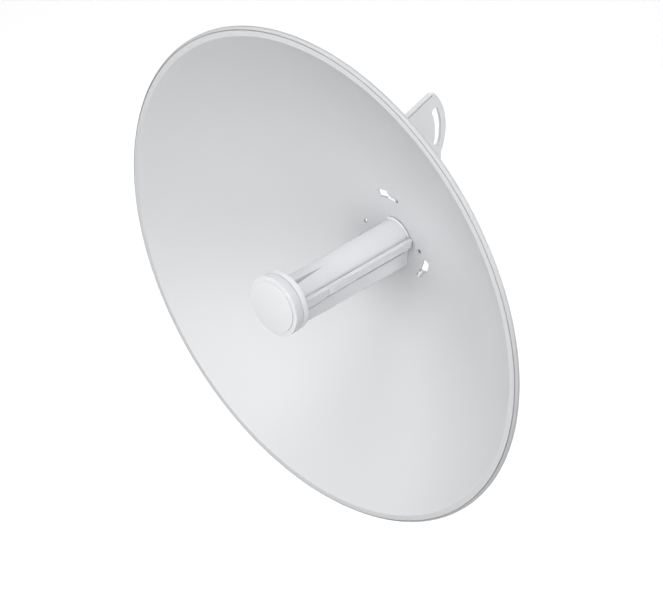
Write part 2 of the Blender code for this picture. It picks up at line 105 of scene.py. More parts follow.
def rounded(points: Pairs, radii: dict[int, float], steps: int = 5) -> Profile:
    """Round some corners of an open profile.

    Args:
        points: Corners of the profile as (radius, height).
        radii: Rounding radius of each rounded corner, by its index.
        steps: Number of straight parts in each rounding.

    Returns:
        The profile with arcs in place of those corners.
    """
    result: Profile = []
    for index, point in enumerate(points):
        if index not in radii:
            result.append(point)
            continue
        here = Vector(point)
        before = Vector(points[index - 1]) - here
        after = Vector(points[index + 1]) - here
        half = before.angle(after) / 2.0
        reach = radii[index] / math.tan(half)
        reach = min(reach, before.length * 0.49, after.length * 0.49)
        radius = reach * math.tan(half)
        inward = (before.normalized() + after.normalized()).normalized()
        centre = here + inward * (radius / math.sin(half))
        start = here + before.normalized() * reach - centre
        stop = here + after.normalized() * reach - centre
        sweep = start.angle_signed(stop)
        for step in range(steps + 1):
            swung = Matrix.Rotation(-sweep * step / steps, 2) @ start
            result.append(tuple(centre + swung))
    return result


def arc(centre: Pair, radius: float, start: float, stop: float, steps: int) -> Profile:
    """Return points on an arc.

    Args:
        centre: Centre of the arc.
        radius: Radius of the arc.
        start: First angle in degrees.
        stop: Last angle in degrees.
        steps: Number of straight parts.

    Returns:
        The points from first to last.
    """
    turns = [math.radians(start + (stop - start) * step / steps) for step in range(steps + 1)]
    return [(centre[0] + radius * math.cos(turn), centre[1] + radius * math.sin(turn))
            for turn in turns]


def spun(profile: Pairs, steps: int = 96) -> bmesh.types.BMesh:
    """Spin a profile of (radius, height) about local Z into a closed solid.

    Args:
        profile: Points of the section, closed on the axis or as a ring.
        steps: Number of steps in the full turn.

    Returns:
        A bmesh in millimetres, its axis on local Z.
    """
    bm = bmesh.new()
    verts = [bm.verts.new((radius, 0.0, height)) for radius, height in profile]
    edges = [bm.edges.new(pair) for pair in zip(verts, verts[1:])]
    if profile[0][0] > 1e-6:
        edges.append(bm.edges.new((verts[-1], verts[0])))
    bmesh.ops.spin(bm, geom=verts + edges, cent=(0.0, 0.0, 0.0), axis=(0.0, 0.0, 1.0),
                   angle=math.tau, steps=steps, use_merge=True)
    bmesh.ops.remove_doubles(bm, verts=bm.verts[:], dist=1e-4)
    bmesh.ops.dissolve_degenerate(bm, edges=bm.edges[:], dist=1e-5)
    bmesh.ops.recalc_face_normals(bm, faces=bm.faces[:])
    return bm


def block(low: Point, high: Point) -> bmesh.types.BMesh:
    """Return a box between two corners, in millimetres."""
    bm = bmesh.new()
    bmesh.ops.create_cube(bm, size=1.0)
    size = Vector(high) - Vector(low)
    bmesh.ops.scale(bm, vec=size, verts=bm.verts[:])
    bmesh.ops.translate(bm, vec=(Vector(low) + Vector(high)) / 2.0, verts=bm.verts[:])
    return bm


def slab(outline: Pairs, low: float, high: float,
         axis: str = "x") -> bmesh.types.BMesh:
    """Return a plate cut to an outline.

    Args:
        outline: Corners of the outline: (y, z) for an x plate, (x, z) for a y plate.
        low: Where the plate starts along its thickness.
        high: Where the plate ends along its thickness.
        axis: Direction of the thickness, "x" or "y".

    Returns:
        A bmesh in millimetres.
    """
    bm = bmesh.new()
    if axis == "x":
        verts = [bm.verts.new((low, across, up)) for across, up in outline]
        along = Vector((high - low, 0.0, 0.0))
    else:
        verts = [bm.verts.new((across, low, up)) for across, up in outline]
        along = Vector((0.0, high - low, 0.0))
    face = bm.faces.new(verts)
    grown = bmesh.ops.extrude_face_region(bm, geom=[face])
    moved = [item for item in grown["geom"] if isinstance(item, bmesh.types.BMVert)]
    bmesh.ops.translate(bm, vec=along, verts=moved)
    bmesh.ops.recalc_face_normals(bm, faces=bm.faces[:])
    return bm


def rod(radius: float, low: Point, high: Point, segments: int = 48,
        end_radius: float | None = None) -> bmesh.types.BMesh:
    """Return a rod or cone between two points.

    Args:
        radius: Radius at the first point.
        low: First end.
        high: Second end.
        segments: Number of sides.
        end_radius: Radius at the second point, if it differs.

    Returns:
        A bmesh in millimetres.
    """
    bm = bmesh.new()
    way = Vector(high) - Vector(low)
    last = radius if end_radius is None else end_radius
    bmesh.ops.create_cone(bm, cap_ends=True, segments=segments, radius1=radius, radius2=last,
                          depth=way.length)
    turn = Vector((0.0, 0.0, 1.0)).rotation_difference(way).to_matrix()
    bmesh.ops.rotate(bm, cent=(0.0, 0.0, 0.0), matrix=turn, verts=bm.verts[:])
    bmesh.ops.translate(bm, vec=(Vector(low) + Vector(high)) / 2.0, verts=bm.verts[:])
    return bm


def soften(bm: bmesh.types.BMesh, width: float, segments: int = 2, angle: float = 30.0,
           where: Callable[[bmesh.types.BMEdge], bool] | None = None) -> None:
    """Bevel the edges sharper than an angle.

    Args:
        bm: The mesh to soften.
        width: Width of the bevel in millimetres.
        segments: Number of faces across the bevel.
        angle: Least angle in degrees between an edge's faces.
        where: Test that an edge must also pass.
    """
    limit = math.radians(angle)
    edges = [edge for edge in bm.edges
             if len(edge.link_faces) == 2 and edge.calc_face_angle(0.0) > limit
             and (where is None or where(edge))]
    bmesh.ops.bevel(bm, geom=edges, offset=width, offset_type="OFFSET", segments=segments,
                    profile=0.5, affect="EDGES", clamp_overlap=True, material=-1)


def runs_along_y(edge: bmesh.types.BMEdge, least: float = 1.0) -> bool:
    """Return whether an edge's ends lie more than a length apart along y."""
    return abs(edge.verts[0].co.y - edge.verts[1].co.y) > least


def turned_to(bm: bmesh.types.BMesh, axis: Axis, centre: Point = (0.0, 0.0, 0.0)) -> None:
    """Lay a spun shape's axis along a direction and move it to its centre."""
    bmesh.ops.transform(bm, matrix=Matrix.Translation(centre) @ axis.turn(), verts=bm.verts[:])


def linked(name: str, data: bpy.types.ID) -> bpy.types.Object:
    """Return a new object of the scene that shows some data."""
    item = bpy.data.objects.new(name, data)
    bpy.context.scene.collection.objects.link(item)
    return item


def join(bm: bmesh.types.BMesh, other: bmesh.types.BMesh) -> None:
    """Add another shape's faces to a shape, and free the other."""
    held = bpy.data.meshes.new("held")
    other.to_mesh(held)
    other.free()
    bm.from_mesh(held)
    bpy.data.meshes.remove(held)


def carved(bm: bmesh.types.BMesh, cutters: Iterable[bmesh.types.BMesh],
           operation: str = "DIFFERENCE") -> bmesh.types.BMesh:
    """Cut a shape with others, or join them to it.

    Args:
        bm: The shape, which is freed.
        cutters: The other shapes, which are freed.
        operation: Boolean operation, DIFFERENCE or UNION.

    Returns:
        The new shape.
    """
    body_mesh = bpy.data.meshes.new("carved")
    bm.to_mesh(body_mesh)
    bm.free()
    body = linked("carved", body_mesh)
    tools = []
    for number, cutter in enumerate(cutters):
        mesh = bpy.data.meshes.new("cutter")
        cutter.to_mesh(mesh)
        cutter.free()
        tool = linked("cutter_%d" % number, mesh)
        step = body.modifiers.new("cut_%d" % number, "BOOLEAN")
        step.operation = operation
        step.solver = "EXACT"
        step.object = tool
        tools.append(tool)
    bpy.context.view_layer.update()
    graph = bpy.context.evaluated_depsgraph_get()
    result = bpy.data.meshes.new_from_object(body.evaluated_get(graph))
    for item in [body, *tools]:
        mesh = item.data
        bpy.data.objects.remove(item, do_unlink=True)
        bpy.data.meshes.remove(mesh)
    made = bmesh.new()
    made.from_mesh(result)
    bpy.data.meshes.remove(result)
    return made


def finish_piece(name: str, bm: bmesh.types.BMesh, finish: "Finish",
                 replaces: Sequence[str], smooth_angle: float = 35.0) -> bpy.types.Object:
    """Turn a shape into a finished piece that rides with the antenna.

    Args:
        name: Name of the piece.
        bm: Its shape in millimetres about the rim centre, which is freed.
        finish: The finish it wears.
        replaces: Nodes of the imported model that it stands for.
        smooth_angle: Edges sharper than this stay crisp, in degrees.

    Returns:
        The new object.
    """
    place = Matrix.Scale(MM, 4) @ Matrix.Translation(RIM_CENTRE)
    bmesh.ops.transform(bm, matrix=place, verts=bm.verts[:])
    mesh = bpy.data.meshes.new(name)
    bm.to_mesh(mesh)
    bm.free()
    mesh.shade_smooth()
    mesh.set_sharp_from_angle(angle=math.radians(smooth_angle))
    mesh.materials.append(finish.material())
    piece = linked(name, mesh)
    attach(piece, BODY)
    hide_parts(*replaces)
    LOG.info("%s: %d faces", name, len(mesh.polygons))
    return piece


# Finishes


def linear(code: str) -> tuple[float, float, float, float]:
    """Turn an sRGB hex colour into linear RGBA.

    Args:
        code: Colour as #RRGGBB.

    Returns:
        Linear red, green, blue and an alpha of one.
    """
    parts = [int(code[start:start + 2], 16) / 255.0 for start in (1, 3, 5)]
    level = [part / 12.92 if part <= 0.04045 else ((part + 0.055) / 1.055) ** 2.4
             for part in parts]
    return (level[0], level[1], level[2], 1.0)


def add_node(tree: bpy.types.NodeTree, kind: str, settings: dict | None = None,
             links: dict | None = None) -> bpy.types.Node:
    """Add a node with its settings and its incoming links.

    Args:
        tree: The node tree.
        kind: The node's type name.
        settings: Values by input name or number, or by attribute as ".name".
        links: Output sockets by input name or number.

    Returns:
        The new node.
    """
    node = tree.nodes.new(kind)
    for key, value in (settings or {}).items():
        if isinstance(key, str) and key.startswith("."):
            setattr(node, key[1:], value)
        else:
            node.inputs[key].default_value = value
    for key, socket in (links or {}).items():
        tree.links.new(socket, node.inputs[key])
    return node


@dataclass(frozen=True)
class Finish:
    """A surface finish with fine grain, slow tone changes and a little wear."""

    name: str
    colour: str
    shade: str
    roughness: float
    metallic: float = 0.0
    ior: float = 1.5
    grain_mm: float = 1.2
    grain_height_mm: float = 0.01
    cloud_mm: float = 90.0
    cloud_amount: float = 0.5
    gloss_change: float = 0.05

    def material(self) -> bpy.types.Material:
        """Return the finish's material, made once and then shared."""
        found = bpy.data.materials.get(self.name)
        if found is not None:
            return found
        result = bpy.data.materials.new(self.name)
        result.use_nodes = True
        tree = result.node_tree
        tree.nodes.clear()
        shader = self.shader(tree)
        add_node(tree, "ShaderNodeOutputMaterial", links={"Surface": shader.outputs["BSDF"]})
        return result

    def shader(self, tree: bpy.types.NodeTree) -> bpy.types.Node:
        """Build the shader.

        Args:
            tree: The material's node tree.

        Returns:
            The Principled BSDF node.
        """
        place = add_node(tree, "ShaderNodeTexCoord").outputs["Object"]
        clouds = add_node(tree, "ShaderNodeTexNoise",
                          {"Scale": 1.0 / (self.cloud_mm * MM), "Detail": 3.0,
                           "Roughness": 0.55}, {"Vector": place})
        amount = add_node(tree, "ShaderNodeMath",
                          {".operation": "MULTIPLY", 1: self.cloud_amount},
                          {0: clouds.outputs["Fac"]})
        tone = add_node(tree, "ShaderNodeMix", {".data_type": "RGBA", 6: linear(self.colour),
                                                7: linear(self.shade)},
                        {0: amount.outputs[0]})
        grain = add_node(tree, "ShaderNodeTexNoise",
                         {"Scale": 1.0 / (self.grain_mm * MM), "Detail": 2.0,
                          "Roughness": 0.6}, {"Vector": place})
        bump = add_node(tree, "ShaderNodeBump",
                        {"Strength": 1.0, "Distance": self.grain_height_mm * MM},
                        {"Height": grain.outputs["Fac"]})
        gloss = add_node(tree, "ShaderNodeMapRange",
                         {"From Min": 0.3, "From Max": 0.7,
                          "To Min": self.roughness - self.gloss_change,
                          "To Max": self.roughness + self.gloss_change},
                         {"Value": clouds.outputs["Fac"]})
        return add_node(tree, "ShaderNodeBsdfPrincipled",
                        {"Metallic": self.metallic, "IOR": self.ior},
                        {"Base Color": tone.outputs[2], "Roughness": gloss.outputs[0],
                         "Normal": bump.outputs[0]})


# Polyester powder coat on pressed steel, sprayed and baked: a semi-gloss skin
# whose faint orange peel breaks up highlights.
POWDER_COAT = Finish("powder_coat_white", "#BDBEC0", "#B8BABC", 0.45, grain_mm=2.2,
                     grain_height_mm=0.03, cloud_mm=140.0)

# UV-stable ASA, injection moulded against a fine sparked tool: satin, with a
# grain too fine to see except where light grazes it.
ASA_WHITE = Finish("asa_white_satin", "#DEDFE1", "#D9DADD", 0.40, ior=1.52, grain_mm=0.7,
                   grain_height_mm=0.012, cloud_mm=60.0)

# The same ASA at the feed's face and lip, a little smoother and painted greyer as painted shade
# that dims these forward faces under the front light.
ASA_FACE_PAINTED_SHADE = Finish("asa_white_face_painted_shade", "#CFD0D2", "#CBCCCE", 0.34, ior=1.52, grain_mm=0.6,
                  grain_height_mm=0.006, cloud_mm=40.0)

# The same ASA on the collar, painted whiter than the tube as painted light, standing in for the
# light the collar misses in the cap's shade.
ASA_COLLAR_PAINTED_LIGHT = Finish("asa_white_collar_painted_light", "#EBECEE", "#E6E7E9", 0.40, ior=1.52, grain_mm=0.7,
                    grain_height_mm=0.008, cloud_mm=40.0)

# Glass-filled nylon: near black and matt, with slightly paler flow clouds.
NYLON_DARK = Finish("nylon_black", "#25272A", "#303337", 0.52, ior=1.53, grain_mm=0.5,
                    grain_height_mm=0.02, cloud_mm=18.0)

# The same powder on the thick bracket plates, a little rougher over the blasted steel and
# painted paler as painted light, standing in for the light these plates miss behind the dish.
BRACKET_COAT_PAINTED_LIGHT = Finish("powder_coat_bracket_painted_light", "#E7E8EA", "#E1E3E5", 0.5, grain_mm=1.8,
                      grain_height_mm=0.04, cloud_mm=60.0)

# Stainless fasteners, cold headed: bright metal with a tight grain.
STAINLESS = Finish("stainless_bolt", "#D2D4D6", "#BFC2C5", 0.28, metallic=1.0,
                   grain_mm=0.4, grain_height_mm=0.006, cloud_mm=5.0)


# Pieces


@dataclass
class Dish:
    """The pressed reflector: bowl, crest, sunk ring and rolled outer wall."""

    rim_r: float = 260.0
    rim_front_h: float = 1.0
    rim_back_h: float = -1.6
    bead_r: float = 257.6
    bowl_edge_r: float = 251.2
    crest_r: float = 252.2
    crest_h: float = 4.4
    ring_in_r: float = 256.3
    ring_h: float = 3.6
    seam_r: float = 257.5
    seam_half: float = 0.5
    seam_deep: float = 2.0
    back_r: float = 247.9
    back_h: float = -0.6
    depth: float = 92.0
    curve: float = 654.6
    well: float = 3.0
    well_r: float = 25.0
    sheet: float = 2.0
    steps: int = 288
    key_angles: tuple[float, float, float] = (105.0, -15.0, 227.0)
    key_r: float = 46.5
    key_wide: float = 8.5
    key_long: float = 12.6
    tail_r: float = 44.9
    tail_wide: float = 5.0
    tail_sweep: float = 22.0
    hub_x: float = -0.8
    hub_z: float = -1.2
    side_holes: tuple[Pair, ...] = ((-37.4, -1.7), (34.6, -1.7))
    side_hole_r: float = 2.2
    key_round: float = 1.2
    cut_near: float = 70.0
    hole_near: float = 80.0
    cut_far: float = 100.0
    bowl_count: int = 44
    back_count: int = 32

    def front(self, radius: float) -> float:
        """Return how far the bowl's front face lies behind the rim plane."""
        well = self.well * math.exp(-(radius / self.well_r) ** 2)
        return self.depth - radius * radius / self.curve + well

    def back(self, radius: float) -> float:
        """Return how far the bowl's back face lies behind the rim plane."""
        slope = 2.0 * radius / self.curve
        return self.front(radius) + self.sheet * math.sqrt(1.0 + slope * slope)

    def section(self) -> Profile:
        """Return the section from the bowl's middle over the rim to its back."""
        step = (self.bowl_edge_r - 0.6) / self.bowl_count
        bowl = [(step * index, -self.front(step * index))
                for index in range(self.bowl_count + 1)]
        floor = self.ring_h - self.seam_deep
        near, far = self.seam_r - self.seam_half, self.seam_r + self.seam_half
        rim = [bowl[-1], (self.bowl_edge_r + 0.2, self.crest_h), (self.crest_r, self.crest_h),
               (self.ring_in_r, self.ring_h), (near, self.ring_h), (near + 0.1, floor),
               (far - 0.1, floor), (far, self.ring_h - 0.3), (self.rim_r, self.rim_front_h),
               (self.rim_r, self.rim_back_h), (self.bead_r, self.rim_back_h),
               (self.bead_r - 1.0, self.back_h), (self.back_r, self.back_h)]
        rim = rounded(rim, {1: 0.5, 2: 0.9, 3: 1.2, 8: 0.6, 9: 0.8, 10: 0.5}, 4)[1:-1]
        step = self.back_r / self.back_count
        back = [(step * index, -self.back(step * index))
                for index in range(self.back_count, -1, -1)]
        return bowl + rim + back

    def key_cutters(self, angle: float) -> list[bmesh.types.BMesh]:
        """Return the cutters of one keyhole.

        Args:
            angle: Where its wide end lies, seen from the front, in degrees.

        Returns:
            A rounded block for the wide end and a curved slab for the tail.
        """
        half = self.key_wide / 2
        wide = block((-half, self.cut_near, -self.key_long / 2),
                     (half, self.cut_far, self.key_long / 2))
        soften(wide, self.key_round, 3, where=runs_along_y)
        turn = Matrix.Rotation(-math.radians(angle), 4, "Y")
        move = Matrix.Translation((self.key_r, 0.0, 0.0))
        shift = Matrix.Translation((self.hub_x, 0.0, self.hub_z))
        bmesh.ops.transform(wide, matrix=shift @ turn @ move, verts=wide.verts[:])
        half = self.tail_wide / 2
        stop = angle - self.tail_sweep
        way = math.radians(stop)
        end = (self.tail_r * math.cos(way), self.tail_r * math.sin(way))
        outline = arc((0.0, 0.0), self.tail_r + half, angle, stop, 12)
        outline += arc(end, half, stop - 30.0, stop - 150.0, 6)
        outline += arc((0.0, 0.0), self.tail_r - half, stop, angle, 12)
        outline = [(across + self.hub_x, up + self.hub_z) for across, up in outline]
        return [wide, slab(outline, self.cut_near, self.cut_far, "y")]

    def build(self) -> None:
        """Build the dish and dress it."""
        bm = spun(self.section(), self.steps)
        turned_to(bm, Axis.FORWARD)
        cutters = FeedTube().opening_solids()
        for angle in self.key_angles:
            cutters += self.key_cutters(angle)
        for across, up in self.side_holes:
            cutters.append(rod(self.side_hole_r, (across, self.hole_near, up),
                               (across, self.cut_far, up), 24))
        bm = carved(bm, cutters)
        finish_piece("reflector_skin", bm, POWDER_COAT, ["dish_reflector"])


@dataclass
class FeedHead:
    """The round head of the feed: cap, raised disc and collar."""

    centre: Point = (0.0, 0.0, -2.0)
    radius: float = 31.6
    collar_r: float = 31.3
    face: float = 73.7
    disc_r: float = 26.8
    step: float = 72.5
    seam: float = 63.0
    seam_front: float = 0.55
    seam_back: float = 0.45
    seam_deep: float = 2.6
    core_gap: float = 0.02
    back: float = 55.8
    steps: int = 128

    def build(self) -> None:
        """Build the three turned pieces."""
        low, top = self.seam + self.seam_front, self.seam - self.seam_back
        core, end = self.radius - self.seam_deep, top + self.core_gap
        cap = [(0.0, self.step), (self.radius, self.step), (self.radius, low),
               (core, low), (core, end), (0.0, end)]
        bm = spun(rounded(cap, {1: 0.5, 2: 0.1}, 5), self.steps)
        turned_to(bm, Axis.FORWARD, self.centre)
        cap = finish_piece("feed_head_cap", bm, ASA_FACE_PAINTED_SHADE, ["feed_cap"], 40.0)
        # Faces that look forward keep the greyer copy as painted shade; the sides wear the plain
        # ASA.
        cap.data.materials.append(ASA_WHITE.material())
        for face in cap.data.polygons:
            face.material_index = int(abs(face.normal.y) < 0.3)
        low = self.step + SEAT
        disc = [(0.0, self.face), (self.disc_r, self.face), (self.disc_r, low), (0.0, low)]
        bm = spun(rounded(disc, {1: 0.35}, 3), self.steps)
        turned_to(bm, Axis.FORWARD, self.centre)
        # The disc wears the greyer copy of the ASA as painted shade.
        finish_piece("feed_head_disc", bm, ASA_FACE_PAINTED_SHADE, ["feed_cap_disc"], 40.0)
        collar = [(0.0, top), (self.collar_r - 1.4, top), (self.collar_r, top),
                  (self.collar_r, self.back), (0.0, self.back)]
        bm = spun(rounded(collar, {2: 0.15, 3: 0.9}, 4), self.steps)
        turned_to(bm, Axis.FORWARD, self.centre)
        # The collar wears the whiter copy of the ASA as painted light.
        finish_piece("feed_head_collar", bm, ASA_COLLAR_PAINTED_LIGHT, ["feed_collar"], 40.0)


@dataclass
class FeedTube:
    """The feed's tube: arched top, deep keel, side strips, pad and lip."""

    middle_z: float = -2.0
    front: float = -55.5
    back: float = 95.5
    arch_r: float = 17.7
    arch_low: float = -1.9
    keel_half: float = 16.65
    keel_front: float = 28.4
    keel_back: float = 30.2
    keel_round: float = 4.8
    strip_in: float = 19.9
    strip_out: float = 24.4
    strip_left_out: float = 21.4
    strip_top: float = 5.9
    strip_left_top: float = 1.4
    strip_low: float = -1.9
    strip_drop: float = -3.1
    web_top: float = 1.0
    web_end: float = 3.0
    strip_step: float = -24.0
    strip_back: float = 91.7
    strip_rake: float = 2.5
    crest_top: float = 4.6
    crest_end: float = 14.0
    pad_front: float = -21.8
    pad_back: float = 14.5
    pad_proud: float = 0.7
    valley_left: float = -0.2
    valley_right_top: float = 10.6
    valley_right_floor: float = 1.8
    valley_tip_x: float = 3.6
    valley_floor: float = 6.0
    valley_end: float = -11.0
    valley_over: float = 20.0
    valley_tip_half: float = 0.05
    valley_tip_deep: float = 0.7
    grooves: tuple[tuple[float, float, float, float, float], ...] = (
        (-50.0, -24.0, -10.4, -12.8, 0.8), (-24.0, 88.5, -8.6, -11.4, 2.0))
    lip_in_r: float = 18.0
    lip_out_r: float = 21.1
    lip_low: float = 6.2
    lip_turn: float = 117.0
    lip_front: float = 91.4
    lip_back: float = 92.5
    lip_slant: float = 6.0
    cut_near: float = 80.0
    cut_far: float = 104.0
    long_edge: float = 19.0
    keel_lower: float = -20.0

    def arch_outline(self, radius: float, low: float) -> Profile:
        """Return a half disc about the feed's middle, flat below.

        Args:
            radius: Its radius.
            low: Height of its flat side.

        Returns:
            The outline as (x, z) points, from right to left.
        """
        start = math.degrees(math.asin((low - self.middle_z) / radius))
        return arc((0.0, self.middle_z), radius, start, 180.0 - start, 96)

    def opening_solids(self, margin: float = 0.15) -> list[bmesh.types.BMesh]:
        """Return the cutters of the tube's opening in the dish.

        Args:
            margin: How far outside the tube they lie.

        Returns:
            A half disc for the arch and a block for the keel.
        """
        outline = self.arch_outline(self.arch_r + margin, self.middle_z - margin)
        wide = self.keel_half + margin
        keel = block((-wide, self.cut_near, -self.keel_back - margin),
                     (wide, self.cut_far, self.middle_z))
        soften(keel, self.keel_round + margin, 8, where=self.keel_corner)
        return [slab(outline, self.cut_near, self.cut_far, "y"), keel]

    def keel_corner(self, edge: bmesh.types.BMEdge) -> bool:
        """Return whether an edge is one of the keel's two long lower edges."""
        return runs_along_y(edge, self.long_edge) and edge.verts[0].co.z < self.keel_lower

    def build(self) -> None:
        """Build all pieces of the tube."""
        self.build_top()
        self.build_keel()
        self.build_strips()
        self.build_lip()

    def build_top(self) -> None:
        """Build the arched top, its front third split by a tapering valley."""
        bm = slab(self.arch_outline(self.arch_r, self.arch_low), self.front, self.back, "y")
        bm = carved(bm, [self.valley_wedge()])
        finish_piece("feed_tube_top", bm, ASA_WHITE, ["feed_upper_shell"], 30.0)

    def valley_wedge(self) -> bmesh.types.BMesh:
        """Return the cutter of the valley, deep at the head and closing backwards."""
        wedge = bmesh.new()
        bmesh.ops.create_cube(wedge, size=2.0)
        for vert in wedge.verts:
            at_back = vert.co.y > 0.0
            at_top = vert.co.z > 0.0
            right = self.valley_right_top if at_top else self.valley_right_floor
            across = self.valley_left if vert.co.x < 0.0 else right
            floor = self.valley_floor
            if at_back:
                across = self.valley_tip_x + math.copysign(self.valley_tip_half, vert.co.x)
                floor = self.middle_z + self.arch_r - self.valley_tip_deep
            along = self.valley_end if at_back else self.front - PAST
            vert.co = Vector((across, along, self.valley_over if at_top else floor))
        return wedge

    def build_keel(self) -> None:
        """Build the deep lower half, a little deeper at the dish."""
        half = self.keel_half
        bm = block((-half, self.front, -self.keel_front),
                   (half, self.back, self.arch_low - SEAT))
        for vert in bm.verts:
            if vert.co.y > 0.0 and vert.co.z < self.keel_lower:
                vert.co.z = -self.keel_back
        soften(bm, self.keel_round, 8, where=self.keel_corner)
        grooves = []
        for side in (-1.0, 1.0):
            for first, last, top, low, deep in self.grooves:
                near, far = sorted((side * (half - deep), side * (half + PAST)))
                grooves.append(block((near, first, low), (far, last, top)))
        bm = carved(bm, grooves)
        finish_piece("feed_tube_keel", bm, ASA_WHITE, ["feed_lower_shell"], 30.0)

    def build_strips(self) -> None:
        """Build the side strips with softened edges, and the bare pad."""
        root = self.arch_r + SEAT
        for name, node, side, out, top, web in (
                ("feed_strip_right", "feed_rail_right", 1.0, self.strip_out, self.strip_top,
                 self.web_end),
                ("feed_strip_left", "feed_rail_left", -1.0, self.strip_left_out,
                 self.strip_left_top, self.strip_left_top - 0.1)):
            outline = [(root, self.strip_low), (out, self.strip_low), (out, top),
                       (self.strip_in, top), (self.strip_in, web), (root, self.web_top)]
            outline = [(side * across, up) for across, up in outline]
            bm = slab(outline, self.front, self.strip_back, "y")
            low, high = sorted((side * root, side * out))
            drop = block((low, self.front, self.strip_drop),
                         (high, self.strip_step, self.strip_low + 1.0))
            for vert in bm.verts:
                if vert.co.y > self.front + 1.0 and vert.co.z < 0.0:
                    vert.co.y -= self.strip_rake
            extras = [drop]
            if side < 0.0:
                crest = block((-out, self.front, 0.0), (-self.strip_in, self.crest_end, top))
                for vert in crest.verts:
                    if vert.co.z > 0.5 and vert.co.y < self.crest_end - 1.0:
                        vert.co.z = self.crest_top
                extras.append(crest)
            bm = carved(bm, extras, "UNION")
            soften(bm, 0.25, 2, where=lambda edge: edge.calc_length() > 1.5)
            finish_piece(name, bm, ASA_WHITE, [node])
        start = self.strip_out + SEAT
        bm = block((start, self.pad_front, self.strip_low),
                   (start + self.pad_proud, self.pad_back, self.strip_top))
        soften(bm, 0.2, 2)
        finish_piece("feed_pad", bm, ASA_WHITE, ["feed_side_pad"])

    def build_lip(self) -> None:
        """Build the thin lip over the arch where it enters the bowl."""
        rise = self.lip_low - self.middle_z
        outer = math.degrees(math.asin(rise / self.lip_out_r))
        inner = math.degrees(math.asin(rise / self.lip_in_r))
        centre = (0.0, self.middle_z)
        outline = arc(centre, self.lip_out_r, outer, self.lip_turn, 64)
        outline += arc(centre, self.lip_in_r, self.lip_turn + self.lip_slant, inner, 64)
        bm = slab(outline, self.lip_front, self.lip_back, "y")
        soften(bm, 0.3, 2, 50.0)
        # The lip wears the greyer copy of the ASA as painted shade.
        finish_piece("feed_lip", bm, ASA_FACE_PAINTED_SHADE, ["feed_base_lip"])


